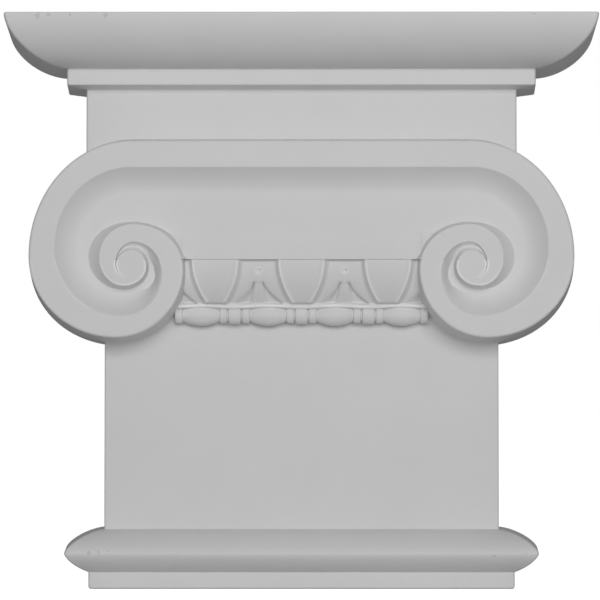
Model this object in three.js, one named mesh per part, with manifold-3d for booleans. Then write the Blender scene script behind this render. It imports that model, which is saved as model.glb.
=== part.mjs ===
// A moulded pilaster capital of the Ionic order: one casting with a flat back, cut off flat under its base
// moulding and over its abacus. Millimetres. X runs across the front, Z is up, and the wall is behind the
// casting at +Y, so the front faces -Y. Every depth is measured forwards from the wall face.
import * as THREE from "three";
import { mergeVertices } from "three/addons/utils/BufferGeometryUtils.js";
import Module from "manifold-3d";

// The neck is the plain shaft that every moulding stands out from.
const NECK_WIDTH = 203.6;
const NECK_DEPTH = 25;
// The side faces lean out towards the wall so that the casting leaves its mould.
const SIDE_DRAFT_DEG = 4;

// Heights of the mouldings, from the underside up.
const BASE_FILLET_HEIGHT = 8.7;
const TORUS_DROP = 10.3;
const TORUS_RISE = 11.3;
const NECK_TO_EYE = 135.2;
const BLOCK_HEIGHT = 28;
const BED_MOULD_HEIGHT = 1.3;
const FILLET_HEIGHT = 8.4;
const OVOLO_HEIGHT = 24.9;

// How far each moulding stands out from the neck, in front and at both ends.
const BASE_FILLET_OVERHANG = 7.5;
const TORUS_OVERHANG = 19;
const BLOCK_OVERHANG = 9;
const FILLET_OVERHANG = 18.2;
const ABACUS_OVERHANG = 47.5;

// Exponents of the rounded profiles: 2 is an ellipse, and a lower one is a leaner curve.
const TORUS_LEANNESS = 1.5;
const OVOLO_LEANNESS = 1.75;
const BED_MOULD_LEANNESS = 2;
const EGG_FULLNESS = 2.1;
const ARCH_FULLNESS = 1.7;
const COVE_FULLNESS = 1.8;

// The scroll: a flat band across the front that winds into a volute at each end.
const EYE_SPACING = 172.6;
const SCROLL_DEPTH = 52;
const SCROLL_DRAFT_DEG = 6;
// The eye's centre to the scroll's top edge. The volute's carving is drawn as shares of this length.
const VOLUTE_RISE = 63.2;

// The hollow channel that runs between the turns of the band.
const CHANNEL_DEPTH = 8.5;
const COVE_RUN = 13;
const COIL_WALL_RUN = 2.8;
const CHANNEL_LIP_DEPTH = 47.2;
const CHANNEL_FLARE_RUN = 8;
// The coil's wall takes at most this share of a narrow channel's width.
const COIL_WALL_SHARE = 0.35;
// The straight channel turns to the coil over this many times the fan that the coil leaves beside the eye.
const FAN_STRETCH = 1.1;

// The egg-and-dart band between the volutes.
const ECHINUS_TOP_RISE = 3;
const ECHINUS_HEIGHT = 22;
const ECHINUS_DEPTH = 46.2;
const ECHINUS_RECEDE = 9;
const EGG_PITCH = 44;
const EGG_COUNT = 3;
const EGG_HALF_WIDTH = 12;
const EGG_FOOT_HALF_WIDTH = 4.7;
const EGG_LIP_SHARE = 0.1;
const SHELL_WIDTH = 3.6;
const SHELL_RELIEF = 1.6;
// The shell leaves this many half widths of the arch's top free beside each dart's middle.
const SHELL_GAP = 1.5;
const LIP_RELIEF = 0.5;
const ARCH_RELIEF = 1.6;
const ARCH_HEIGHT = 10.9;
const ARCH_HALF_WIDTH = 2.6;
const ARCH_FOOT_HALF_WIDTH = 12.6;
const ARCH_WALL_SHARE = 0.15;
const ARCH_CLEARANCE = 0.3;
// The arch's underside at its top, as a share of the band's height.
const ARCH_SOFFIT_SHARE = 0.02;
const DART_HALF_WIDTH = 2;
const DART_WIDTH_SHARE = 0.7;
const DART_CREST_SHARE = 0.6;
const DART_RELIEF_SHARE = 2 / 3;
const PIT_RADIUS = 1.2;
const PIT_DEPTH = 0.7;
const PIT_RISE = 16.2;

// The bead-and-reel string under it: long barrels, with three short reels between them.
const BEAD_PITCH = 34.4;
const BARREL_COUNT = 4;
const BARREL_LENGTH = 18.3;
const BARREL_RADIUS = 5.8;
const BARREL_END_RADIUS = 4.7;
const REEL_LENGTH = 4.6;
const REEL_RADIUS = 4.9;
const MIDDLE_REEL_RADIUS = 5.2;
const BEAD_GROOVE_RADIUS = 4.1;
const BEAD_GROOVE_WIDTH = 0.6;
const BEAD_AXIS_DEPTH = 30;
const BEAD_BACKING_DEPTH = 28;
const BEAD_BACKING_RISE = 2.9;

// How finely the curves are divided.
const QUARTER_STEPS = 9;
const PROFILE_STEPS = 10;
const COVE_STEPS = 4;
const TOP_BAND_STEPS = 6;
const ECHINUS_ROWS = 6;
const BEAD_SIDES = 12;
const BARREL_STEPS = 4;
const PIT_SIDES = 8;
const PIT_RINGS = 6;
// Points nearer than this are one point.
const MERGE_DISTANCE = 1e-3;

const NECK_HALF_WIDTH = NECK_WIDTH / 2;
const TORUS_TIP_Z = BASE_FILLET_HEIGHT + TORUS_DROP;
const TORUS_TOP_Z = TORUS_TIP_Z + TORUS_RISE;
const EYE_Z = TORUS_TOP_Z + NECK_TO_EYE;
const SCROLL_TOP_Z = EYE_Z + VOLUTE_RISE;
const BLOCK_TOP_Z = SCROLL_TOP_Z + BLOCK_HEIGHT;
const FILLET_BOTTOM_Z = BLOCK_TOP_Z + BED_MOULD_HEIGHT;
const FILLET_TOP_Z = FILLET_BOTTOM_Z + FILLET_HEIGHT;
const TOP_Z = FILLET_TOP_Z + OVOLO_HEIGHT;
const ECHINUS_TOP_Z = EYE_Z + ECHINUS_TOP_RISE;
const ECHINUS_BOTTOM_Z = ECHINUS_TOP_Z - ECHINUS_HEIGHT;
// The casting stands with its middle depth over the origin.
const WALL_Y = (NECK_DEPTH + ABACUS_OVERHANG) / 2;

const wasm = await Module();
wasm.setup();

// A point x across and z up, at a depth in front of the wall.
function place(x, z, depth) {
  return new THREE.Vector3(x, WALL_Y - depth, z);
}

// The part of a full overhang that is left at a share t of a rounded profile's height from its widest place.
function roundShare(t, leanness) {
  return Math.pow(Math.max(0, 1 - Math.pow(t, leanness)), 1 / leanness);
}

// Collects triangles and turns them into a closed solid.
class Shell {
  constructor() {
    this.points = [];
  }

  triangle(a, b, c) {
    this.points.push(a.clone(), b.clone(), c.clone());
  }

  quad(a, b, c, d) {
    this.triangle(a, b, c);
    this.triangle(a, c, d);
  }

  // Quads between neighbouring rows of equally many points.
  grid(rows) {
    for (let i = 0; i + 1 < rows.length; i++)
      for (let j = 0; j + 1 < rows[i].length; j++)
        this.quad(rows[i][j], rows[i + 1][j], rows[i + 1][j + 1], rows[i][j + 1]);
  }

  // A flat face inside a ring of points that all lie against the wall, facing back.
  backFace(ring) {
    const flat = ring.map((p) => new THREE.Vector2(p.x, p.z));
    for (const [a, b, c] of THREE.ShapeUtils.triangulateShape(flat, [])) {
      const turn = flat[b].clone().sub(flat[a]).cross(flat[c].clone().sub(flat[a]));
      if (turn > 0) this.triangle(ring[a], ring[c], ring[b]);
      else this.triangle(ring[a], ring[b], ring[c]);
    }
  }

  // The same triangles on the other side of the middle plane, still facing out.
  mirrored() {
    const other = new Shell();
    const flip = (p) => new THREE.Vector3(-p.x, p.y, p.z);
    for (let i = 0; i < this.points.length; i += 3)
      other.triangle(flip(this.points[i]), flip(this.points[i + 2]), flip(this.points[i + 1]));
    return other;
  }

  append(other) {
    for (const p of other.points) this.points.push(p);
  }

  solid() {
    const geometry = new THREE.BufferGeometry().setFromPoints(this.points);
    return solidOf(geometry);
  }
}

// A closed geometry as a solid that can be joined to another.
function solidOf(geometry) {
  const bare = geometry.index ? geometry.toNonIndexed() : geometry.clone();
  bare.deleteAttribute("normal");
  bare.deleteAttribute("uv");
  const merged = mergeVertices(bare, MERGE_DISTANCE);
  const corners = merged.index.array;
  const kept = [];
  for (let i = 0; i < corners.length; i += 3) {
    const [a, b, c] = [corners[i], corners[i + 1], corners[i + 2]];
    if (a !== b && b !== c && c !== a) kept.push(a, b, c);
  }
  return new wasm.Manifold(
    new wasm.Mesh({
      numProp: 3,
      vertProperties: merged.attributes.position.array,
      triVerts: new Uint32Array(kept),
    }),
  );
}

// Overhang and height of each level of the mouldings, from the underside up.
function mouldingProfile() {
  const levels = [
    [BASE_FILLET_OVERHANG, 0],
    [BASE_FILLET_OVERHANG, BASE_FILLET_HEIGHT],
  ];
  const footShare = roundShare(BASE_FILLET_OVERHANG / TORUS_OVERHANG, TORUS_LEANNESS);
  for (let i = 1; i <= PROFILE_STEPS; i++) {
    const share = footShare * (1 - i / PROFILE_STEPS);
    const overhang = TORUS_OVERHANG * roundShare(share, TORUS_LEANNESS);
    levels.push([overhang, TORUS_TIP_Z - (TORUS_DROP * share) / footShare]);
  }
  for (let i = 1; i <= PROFILE_STEPS; i++) {
    const share = Math.sin(((i / PROFILE_STEPS) * Math.PI) / 2);
    levels.push([TORUS_OVERHANG * roundShare(share, TORUS_LEANNESS), TORUS_TIP_Z + TORUS_RISE * share]);
  }
  levels.push([0, EYE_Z], [BLOCK_OVERHANG, EYE_Z], [BLOCK_OVERHANG, BLOCK_TOP_Z]);
  const bedRun = FILLET_OVERHANG - BLOCK_OVERHANG;
  for (let i = 1; i <= COVE_STEPS; i++) {
    const share = 1 - i / COVE_STEPS;
    const overhang = BLOCK_OVERHANG + bedRun * roundShare(share, BED_MOULD_LEANNESS);
    levels.push([overhang, FILLET_BOTTOM_Z - BED_MOULD_HEIGHT * share]);
  }
  levels.push([FILLET_OVERHANG, FILLET_TOP_Z]);
  const ovoloRun = ABACUS_OVERHANG - FILLET_OVERHANG;
  for (let i = 1; i <= PROFILE_STEPS; i++) {
    const share = Math.cos(((i / PROFILE_STEPS) * Math.PI) / 2);
    const overhang = FILLET_OVERHANG + ovoloRun * roundShare(share, OVOLO_LEANNESS);
    levels.push([overhang, TOP_Z - OVOLO_HEIGHT * share]);
  }
  return levels;
}

// The neck with every moulding that runs round its front and ends, mitred at the corners.
function mouldings() {
  const lean = Math.tan(THREE.MathUtils.degToRad(SIDE_DRAFT_DEG));
  const rings = mouldingProfile().map(([overhang, z]) => {
    const depth = NECK_DEPTH + overhang;
    const front = NECK_HALF_WIDTH + overhang;
    const back = front + depth * lean;
    return [place(-back, z, 0), place(-front, z, depth), place(front, z, depth), place(back, z, 0)];
  });
  const shell = new Shell();
  for (let i = 0; i + 1 < rings.length; i++)
    for (let j = 0; j < 4; j++) {
      const k = (j + 1) % 4;
      shell.quad(rings[i][j], rings[i][k], rings[i + 1][k], rings[i + 1][j]);
    }
  const [low, high] = [rings[0], rings[rings.length - 1]];
  shell.quad(low[3], low[2], low[1], low[0]);
  shell.quad(high[0], high[1], high[2], high[3]);
  return shell.solid();
}

// Where the band's outer and inner edge are furthest up, out, down and in, turn after turn, as shares of
// VOLUTE_RISE outwards and upwards from the eye's centre. A quarter of an ellipse joins each to the next.
const OUTER_TURNS = [
  [0, 1],
  [0.83, 0.073],
  [0.127, -0.584],
  [-0.416, -0.03],
  [-0.016, 0.328],
  [0.255, 0.064],
  [0.062, -0.169],
  [-0.123, -0.014],
  [-0.005, 0.116],
  [0.121, 0],
  [0, -0.107],
];
const INNER_TURNS = [
  [0, 0.787],
  [0.618, 0.143],
  [0.078, -0.408],
  [-0.253, -0.092],
  [-0.016, 0.186],
  [0.126, 0.005],
  [0.003, -0.11],
];
const TURN = 4;
const CHANNEL_QUARTERS = INNER_TURNS.length - 1;

// A point of an edge at a number of quarter turns from its top, outwards and upwards from the eye.
function edgePoint(turns, quarters) {
  const i = Math.min(Math.floor(quarters), turns.length - 2);
  const angle = ((quarters - i) * Math.PI) / 2;
  const [from, to] = [turns[i], turns[i + 1]];
  const [near, far] = [1 - Math.cos(angle), Math.sin(angle)];
  const across = i % 2 === 0 ? far : near;
  const up = i % 2 === 0 ? near : far;
  return new THREE.Vector2(
    VOLUTE_RISE * (from[0] + (to[0] - from[0]) * across),
    VOLUTE_RISE * (from[1] + (to[1] - from[1]) * up),
  );
}

// The left volute's edge in the frame of the front.
function leftEdge(turns, quarters) {
  const p = edgePoint(turns, quarters);
  return new THREE.Vector2(-EYE_SPACING / 2 - p.x, EYE_Z + p.y);
}

// Where the first turn's outer edge comes up to the top of the egg-and-dart band, in quarter turns.
function echinusQuarters() {
  const [below, above] = [OUTER_TURNS[TURN - 1][1], OUTER_TURNS[TURN][1]];
  const share = (ECHINUS_TOP_RISE / VOLUTE_RISE - below) / (above - below);
  return TURN - 1 + (Math.asin(THREE.MathUtils.clamp(share, 0, 1)) * 2) / Math.PI;
}

// The stations along the band, in quarter turns, with one at the top of the egg-and-dart band in each turn.
function bandStations() {
  const meeting = echinusQuarters() - (TURN - 1);
  const plain = Array.from({ length: QUARTER_STEPS }, (_, i) => i / QUARTER_STEPS);
  const parted = [0, meeting];
  for (let i = 1; i < QUARTER_STEPS; i++) parted.push(meeting + ((1 - meeting) * i) / QUARTER_STEPS);
  const stations = [];
  for (let quarter = 0; quarter < CHANNEL_QUARTERS + TURN; quarter++)
    for (const share of quarter % TURN === TURN - 1 ? parted : plain) stations.push(quarter + share);
  stations.push(CHANNEL_QUARTERS + TURN);
  return stations;
}

// One section across the band and its channel: the band's outer edge, its inner edge, the cove, and the foot
// and edge of what bounds the channel on its other side.
function bandSection(outer, inner, end, closed) {
  const points = [place(outer.x, outer.y, SCROLL_DEPTH), place(inner.x, inner.y, SCROLL_DEPTH)];
  const width = inner.distanceTo(end);
  const depth = closed ? 0 : CHANNEL_DEPTH * Math.sqrt(Math.min(1, width / COVE_RUN));
  const foot = end.clone().lerp(inner, Math.min(COIL_WALL_RUN / width, COIL_WALL_SHARE));
  const cove = Math.min(COVE_RUN / width, foot.distanceTo(inner) / width);
  for (let i = 1; i <= COVE_STEPS; i++) {
    const share = i / COVE_STEPS;
    const at = inner.clone().lerp(end, cove * share);
    points.push(place(at.x, at.y, SCROLL_DEPTH - depth * (1 - (1 - share) ** COVE_FULLNESS)));
  }
  points.push(place(foot.x, foot.y, SCROLL_DEPTH - depth), place(end.x, end.y, SCROLL_DEPTH));
  return points;
}

// A section through the straight middle of the scroll, down to the lip over the egg-and-dart band.
function middleSection(topX, endX) {
  const innerZ = EYE_Z + VOLUTE_RISE * INNER_TURNS[0][1];
  const end = new THREE.Vector2(endX, ECHINUS_TOP_Z);
  const points = bandSection(
    new THREE.Vector2(topX, SCROLL_TOP_Z),
    new THREE.Vector2(topX, innerZ),
    end,
    false,
  );
  const foot = points.length - 2;
  const flareX = endX + ((topX - endX) * CHANNEL_FLARE_RUN) / (innerZ - ECHINUS_TOP_Z);
  points[foot] = place(flareX, ECHINUS_TOP_Z + CHANNEL_FLARE_RUN, SCROLL_DEPTH - CHANNEL_DEPTH);
  points[foot + 1] = place(end.x, end.y, CHANNEL_LIP_DEPTH);
  return points;
}

// The scroll, from the wall to the flat of its band, with the channel sunk into its front.
function scroll() {
  const stations = bandStations();
  const meetingAt = stations.findIndex((s) => s > TURN - 1);
  const turnAt = stations.indexOf(TURN);
  const channelEnd = stations.indexOf(CHANNEL_QUARTERS);
  const fanSteps = turnAt - meetingAt;
  const eyeX = -EYE_SPACING / 2;
  const meeting = leftEdge(OUTER_TURNS, stations[meetingAt]);
  const fanRun = (Math.abs(eyeX) - Math.abs(meeting.x)) * FAN_STRETCH;

  // From the middle plane to the left volute's first turn.
  const sections = [];
  const wallFootX = meeting.x + COIL_WALL_RUN;
  for (let i = 0; i <= TOP_BAND_STEPS; i++) {
    const share = i / TOP_BAND_STEPS;
    sections.push(middleSection((eyeX + fanRun + COIL_WALL_RUN) * share, wallFootX * share));
  }
  const innerZ = EYE_Z + VOLUTE_RISE * INNER_TURNS[0][1];
  for (let i = fanSteps; i > 0; i--) {
    const topX = eyeX + (fanRun * i) / fanSteps;
    const end = leftEdge(OUTER_TURNS, stations[turnAt - i]);
    sections.push(
      bandSection(new THREE.Vector2(topX, SCROLL_TOP_Z), new THREE.Vector2(topX, innerZ), end, false),
    );
  }
  const straight = sections.length;
  for (let i = 0; i <= channelEnd; i++)
    sections.push(
      bandSection(
        leftEdge(OUTER_TURNS, stations[i]),
        leftEdge(INNER_TURNS, stations[i]),
        leftEdge(OUTER_TURNS, stations[i + turnAt]),
        i === channelEnd,
      ),
    );

  const half = new Shell();
  half.grid(sections);

  // The eye fills what is left inside the last turn.
  const ring = [];
  for (let i = channelEnd; i <= channelEnd + turnAt; i++) {
    const p = leftEdge(OUTER_TURNS, stations[i]);
    ring.push(place(p.x, p.y, SCROLL_DEPTH));
  }
  const last = sections[sections.length - 1];
  for (let i = last.length - 2; i > 0; i--) ring.push(last[i]);
  const eye = place(eyeX, EYE_Z, SCROLL_DEPTH);
  for (let i = 0; i < ring.length; i++) half.triangle(eye, ring[i], ring[(i + 1) % ring.length]);

  // The outline of the front, from the middle of the top edge round the volute to the middle of the lip.
  const outline = [];
  for (let i = 0; i < straight; i++) outline.push(sections[i][0]);
  for (let i = 0; i <= meetingAt; i++) outline.push(sections[straight + i][0]);
  for (let i = TOP_BAND_STEPS; i >= 0; i--) outline.push(sections[i][sections[i].length - 1]);

  // The same outline on the wall, wider by the draft.
  const spread = SCROLL_DEPTH * Math.tan(THREE.MathUtils.degToRad(SCROLL_DRAFT_DEG));
  const meetingIndex = straight + meetingAt;
  const onWall = outline.map((p, i) => {
    if (i <= straight) return place(p.x, p.z + spread, 0);
    const after = outline[Math.min(i + 1, meetingIndex)];
    const along = new THREE.Vector2(after.x - outline[i - 1].x, after.z - outline[i - 1].z).normalize();
    return place(p.x + along.y * spread, p.z - along.x * spread, 0);
  });
  const corner = onWall[meetingIndex];
  for (let i = meetingIndex + 1; i < outline.length; i++) {
    const share = (outline.length - 1 - i) / (outline.length - meetingIndex);
    onWall[i] = place(corner.x * share, corner.z, 0);
  }
  half.grid([outline, onWall]);

  const whole = new Shell();
  whole.append(half);
  whole.append(half.mirrored());
  const across = onWall.slice(1, -1).reverse();
  const back = [...onWall, ...across.map((p) => new THREE.Vector3(-p.x, p.y, p.z))];
  whole.backFace(back);
  return whole.solid();
}

// Depth of the egg-and-dart band's plain rounded face at a share of its height.
function echinusDepth(rise) {
  return ECHINUS_DEPTH - ECHINUS_RECEDE * (1 - rise) ** 2;
}

// Half the width of an egg at a share of the band's height.
function eggHalfWidth(rise) {
  return EGG_FOOT_HALF_WIDTH + (EGG_HALF_WIDTH - EGG_FOOT_HALF_WIDTH) * (1 - (1 - rise) ** EGG_FULLNESS);
}

// Half the width of the arch over a dart.
function archHalfWidth(rise) {
  const below = Math.max(0, 1 - (rise * ECHINUS_HEIGHT) / ARCH_HEIGHT);
  return ARCH_HALF_WIDTH + (ARCH_FOOT_HALF_WIDTH - ARCH_HALF_WIDTH) * below ** ARCH_FULLNESS;
}

// From an egg's middle to the next dart's middle at one height: how far across, and how far sunk.
function halfPitch(rise, underArch) {
  const middle = EGG_PITCH / 2;
  const egg = eggHalfWidth(rise);
  const shell = Math.min(egg + SHELL_WIDTH, middle - ARCH_HALF_WIDTH * SHELL_GAP);
  const arch = Math.min(archHalfWidth(rise), middle - shell - ARCH_CLEARANCE);
  const sunk = SHELL_RELIEF + (underArch ? ARCH_RELIEF : 0);
  const dart = SHELL_RELIEF + (underArch ? ARCH_RELIEF * (1 - DART_RELIEF_SHARE) : 0);
  const dartHalf = Math.min(DART_HALF_WIDTH, arch * DART_WIDTH_SHARE);
  return [
    [0, 0],
    [egg * (1 - EGG_LIP_SHARE), 0],
    [egg, -LIP_RELIEF],
    [shell, SHELL_RELIEF],
    [middle - arch, SHELL_RELIEF],
    [middle - arch * (1 - ARCH_WALL_SHARE), sunk],
    [middle - dartHalf, sunk],
    [middle - dartHalf * DART_CREST_SHARE, dart],
    [middle, dart],
  ];
}

// One row of the band's front from end to end at a height.
function echinusRow(rise, underArch) {
  const half = halfPitch(rise, underArch);
  const z = ECHINUS_BOTTOM_Z + ECHINUS_HEIGHT * rise;
  const row = [];
  for (let egg = 0; egg < EGG_COUNT; egg++) {
    const eggX = (egg - (EGG_COUNT - 1) / 2) * EGG_PITCH;
    const before = half.slice(1, egg === 0 ? half.length : -1).reverse();
    for (const [across, sunk] of before) row.push(place(eggX - across, z, echinusDepth(rise) - sunk));
    for (const [across, sunk] of half) row.push(place(eggX + across, z, echinusDepth(rise) - sunk));
  }
  return row;
}

// The egg-and-dart band with the strip that backs the beads, as one block behind its carved front.
function echinus() {
  const archRise = ARCH_HEIGHT / ECHINUS_HEIGHT;
  const rows = [];
  for (let i = 0; i < ECHINUS_ROWS; i++) rows.push(echinusRow((archRise * i) / ECHINUS_ROWS, true));
  rows.push(echinusRow(archRise - ARCH_SOFFIT_SHARE, true));
  for (let i = 0; i <= ECHINUS_ROWS; i++)
    rows.push(echinusRow(archRise + ((1 - archRise) * i) / ECHINUS_ROWS, false));
  const beadBottomZ = ECHINUS_BOTTOM_Z - 2 * BARREL_RADIUS;
  const level = (z, depth) => rows[0].map((p) => place(p.x, z, depth));
  rows.unshift(
    level(ECHINUS_BOTTOM_Z, 0),
    level(beadBottomZ, 0),
    level(beadBottomZ + BEAD_BACKING_RISE, BEAD_BACKING_DEPTH),
    level(ECHINUS_BOTTOM_Z, BEAD_BACKING_DEPTH),
  );
  rows.push(level(ECHINUS_TOP_Z, 0), level(ECHINUS_BOTTOM_Z, 0));
  const shell = new Shell();
  shell.grid(rows.map((row) => row.slice().reverse()));
  const ends = rows.slice(1, -1);
  const last = rows[0].length - 1;
  const centre = (x) => place(x, ECHINUS_BOTTOM_Z, 0);
  for (let i = 0; i + 1 < ends.length; i++) {
    shell.triangle(centre(ends[i][0].x), ends[i][0], ends[i + 1][0]);
    shell.triangle(centre(ends[i][last].x), ends[i + 1][last], ends[i][last]);
  }
  return shell.solid();
}

// A small round pit in the field over each dart.
function pits() {
  const z = ECHINUS_BOTTOM_Z + PIT_RISE;
  const depth = echinusDepth(PIT_RISE / ECHINUS_HEIGHT) - SHELL_RELIEF;
  const found = [];
  for (let dart = 1; dart < EGG_COUNT; dart++) {
    const x = (dart - EGG_COUNT / 2) * EGG_PITCH;
    const pit = new THREE.SphereGeometry(1, PIT_SIDES, PIT_RINGS);
    pit.scale(PIT_RADIUS, PIT_DEPTH, PIT_RADIUS);
    const at = place(x, z, depth);
    pit.translate(at.x, at.y, at.z);
    found.push(solidOf(pit));
  }
  return found;
}

// Outline of the bead-and-reel string, as distance along it and radius.
function beadProfile() {
  const start = (-(BARREL_COUNT - 1) / 2) * BEAD_PITCH - BARREL_LENGTH / 2;
  const gap = BEAD_PITCH - BARREL_LENGTH;
  const middleLength = gap - 2 * REEL_LENGTH;
  const profile = [];
  const groove = (x) => profile.push([x - BEAD_GROOVE_WIDTH / 2, BEAD_GROOVE_RADIUS]);
  const drum = (from, length, radius) => {
    profile.push([from + BEAD_GROOVE_WIDTH / 2, radius], [from + length - BEAD_GROOVE_WIDTH, radius]);
  };
  for (let i = 0; i < BARREL_COUNT; i++) {
    const from = start + i * BEAD_PITCH;
    for (let k = 0; k <= BARREL_STEPS; k++) {
      const share = k / BARREL_STEPS;
      const swell = Math.sin(share * Math.PI);
      const x = from + BEAD_GROOVE_WIDTH / 2 + (BARREL_LENGTH - BEAD_GROOVE_WIDTH) * share;
      profile.push([x, BARREL_END_RADIUS + (BARREL_RADIUS - BARREL_END_RADIUS) * swell]);
    }
    if (i === BARREL_COUNT - 1) break;
    const end = from + BARREL_LENGTH;
    groove(end + BEAD_GROOVE_WIDTH / 2);
    drum(end, REEL_LENGTH, REEL_RADIUS);
    groove(end + REEL_LENGTH);
    drum(end + REEL_LENGTH, middleLength, MIDDLE_REEL_RADIUS);
    groove(end + REEL_LENGTH + middleLength);
    drum(end + REEL_LENGTH + middleLength, REEL_LENGTH, REEL_RADIUS);
    groove(end + gap);
  }
  return profile;
}

// The bead-and-reel string, turned about its own line.
function beads() {
  const profile = beadProfile();
  const first = profile[0];
  const last = profile[profile.length - 1];
  const points = [new THREE.Vector2(0, first[0])];
  for (const [x, radius] of profile) points.push(new THREE.Vector2(radius, x));
  points.push(new THREE.Vector2(0, last[0]));
  const string = new THREE.LatheGeometry(points, BEAD_SIDES);
  string.rotateZ(-Math.PI / 2);
  const at = place(0, ECHINUS_BOTTOM_Z - BARREL_RADIUS, BEAD_AXIS_DEPTH);
  string.translate(at.x, at.y, at.z);
  return solidOf(string);
}

function capital() {
  let cast = mouldings().add(scroll()).add(echinus()).add(beads());
  for (const pit of pits()) cast = cast.subtract(pit);
  const mesh = cast.getMesh();
  const geometry = new THREE.BufferGeometry();
  geometry.setAttribute("position", new THREE.BufferAttribute(new Float32Array(mesh.vertProperties), 3));
  geometry.setIndex(new THREE.BufferAttribute(new Uint32Array(mesh.triVerts), 1));
  geometry.computeVertexNormals();
  const primer = new THREE.MeshStandardMaterial({ color: 0xe2e2e2, roughness: 0.6, metalness: 0 });
  const body = new THREE.Mesh(geometry, primer);
  body.name = "ionic_pilaster_capital";
  return body;
}

const group = new THREE.Group();
group.add(capital());

export default group;
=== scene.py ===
"""A moulded pilaster capital of the Ionic order, finished and photographed in a plain studio."""

import logging
import math
from collections.abc import Callable
from dataclasses import dataclass, field
from enum import Enum

import bmesh
import bpy
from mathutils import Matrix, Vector


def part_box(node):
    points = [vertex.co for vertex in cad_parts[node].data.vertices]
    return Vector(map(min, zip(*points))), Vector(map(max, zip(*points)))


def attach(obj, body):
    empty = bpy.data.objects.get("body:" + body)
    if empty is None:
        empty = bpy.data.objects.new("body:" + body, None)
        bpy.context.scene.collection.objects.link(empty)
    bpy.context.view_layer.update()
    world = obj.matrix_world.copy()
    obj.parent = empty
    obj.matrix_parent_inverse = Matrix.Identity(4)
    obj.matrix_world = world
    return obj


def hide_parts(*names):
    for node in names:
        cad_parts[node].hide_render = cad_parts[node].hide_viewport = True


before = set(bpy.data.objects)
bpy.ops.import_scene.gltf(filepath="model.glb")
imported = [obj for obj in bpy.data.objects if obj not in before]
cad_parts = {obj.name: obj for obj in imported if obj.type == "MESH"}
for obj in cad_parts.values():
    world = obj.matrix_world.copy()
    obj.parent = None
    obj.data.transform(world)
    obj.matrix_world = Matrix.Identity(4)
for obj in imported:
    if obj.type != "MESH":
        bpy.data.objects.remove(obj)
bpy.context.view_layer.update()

LOG = logging.getLogger("capital")
NODE = "ionic_pilaster_capital"
MM = 0.001
LOW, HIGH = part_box(NODE)
WALL_Y = HIGH[1]
NECK_HALF_WIDTH = 101.8
NECK_DEPTH = 25
EYE_Z = 165.5
ECHINUS_RISE = 3
BEAD_PITCH = 34.4
QUARTER = math.pi / 2
HAIR = 1e-6
MERGE_DISTANCE = 2e-6
MOST_OF_A_SIDE = 0.45
NEARLY_STRAIGHT = 1e-3
WHITE = (1, 1, 1, 1)
NUMBER, VECTOR = "NodeSocketFloat", "NodeSocketVector"

Section = list[tuple[float, float]]
Input = float | tuple[float, ...] | Vector | bpy.types.NodeSocket


class Joining(Enum):
    """How one solid acts on another."""

    ADD = "UNION"
    CUT = "DIFFERENCE"


def place(x: float, z: float, depth: float) -> Vector:
    """Turn millimetres across, up and in front of the wall into a point in metres.

    Args:
        x: Distance to the right of the middle plane.
        z: Height above the underside.
        depth: Distance in front of the wall face.

    Returns:
        The point in the object's frame.
    """
    return Vector((x * MM, WALL_Y - depth * MM, z * MM))


def deselect_all() -> None:
    """Leave nothing selected, in object mode."""
    if bpy.context.object and bpy.context.object.mode != "OBJECT":
        bpy.ops.object.mode_set(mode="OBJECT")
    bpy.ops.object.select_all(action="DESELECT")


def activate(piece: bpy.types.Object) -> None:
    """Select one object alone and make it the active one.

    Args:
        piece: The object.
    """
    deselect_all()
    piece.select_set(True)
    bpy.context.view_layer.objects.active = piece


def soften(corners: Section, radii: dict[int, float], steps: int) -> Section:
    """Round chosen corners of an open line with arcs.

    Args:
        corners: The line's points.
        radii: Radius for each corner to round, by its place in the line.
        steps: Chords in each arc.

    Returns:
        The line with each chosen corner replaced by steps + 1 points.
    """
    line: Section = []
    for i, here in enumerate(corners):
        if i not in radii:
            line.append(here)
            continue
        before, after = corners[i - 1], corners[i + 1]
        back = Vector((before[0] - here[0], before[1] - here[1]))
        on = Vector((after[0] - here[0], after[1] - here[1]))
        half = back.angle(on) / 2
        if half > QUARTER - NEARLY_STRAIGHT:
            line += [here] * (steps + 1)
            continue
        reach = min(radii[i] / math.tan(half), back.length * MOST_OF_A_SIDE, on.length * MOST_OF_A_SIDE)
        back, on = back.normalized(), on.normalized()
        start, end = Vector(here) + back * reach, Vector(here) + on * reach
        radius = reach * math.tan(half)
        centre = Vector(here) + (back + on).normalized() * (radius / math.sin(half))
        first, last = start - centre, end - centre
        sweep = first.angle(last)
        for k in range(steps + 1):
            share = k / steps
            left = math.sin((1 - share) * sweep) / math.sin(sweep)
            right = math.sin(share * sweep) / math.sin(sweep)
            line.append(tuple(centre + first * left + last * right))
    return line


def round_share(share: float, leanness: float) -> float:
    """Give what is left of a rounded profile's overhang at a share of its height from its widest place."""
    return max(0.0, 1 - share**leanness) ** (1 / leanness)


def smooth(share: float) -> float:
    """Turn a share from 0 to 1 into one that starts and ends gently."""
    return share * share * (3 - 2 * share)


def eased(values: tuple[float, ...], at: float) -> float:
    """Find a value between those of a list, with a gentle start and end at each.

    Args:
        values: The list.
        at: A place in it, counted from 0, which may lie between two values.

    Returns:
        The value there.
    """
    i = max(0, min(int(at), len(values) - 2))
    share = max(0.0, min(1.0, at - i))
    return values[i] + (values[i + 1] - values[i]) * (1 - math.cos(math.pi * share)) / 2


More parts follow.
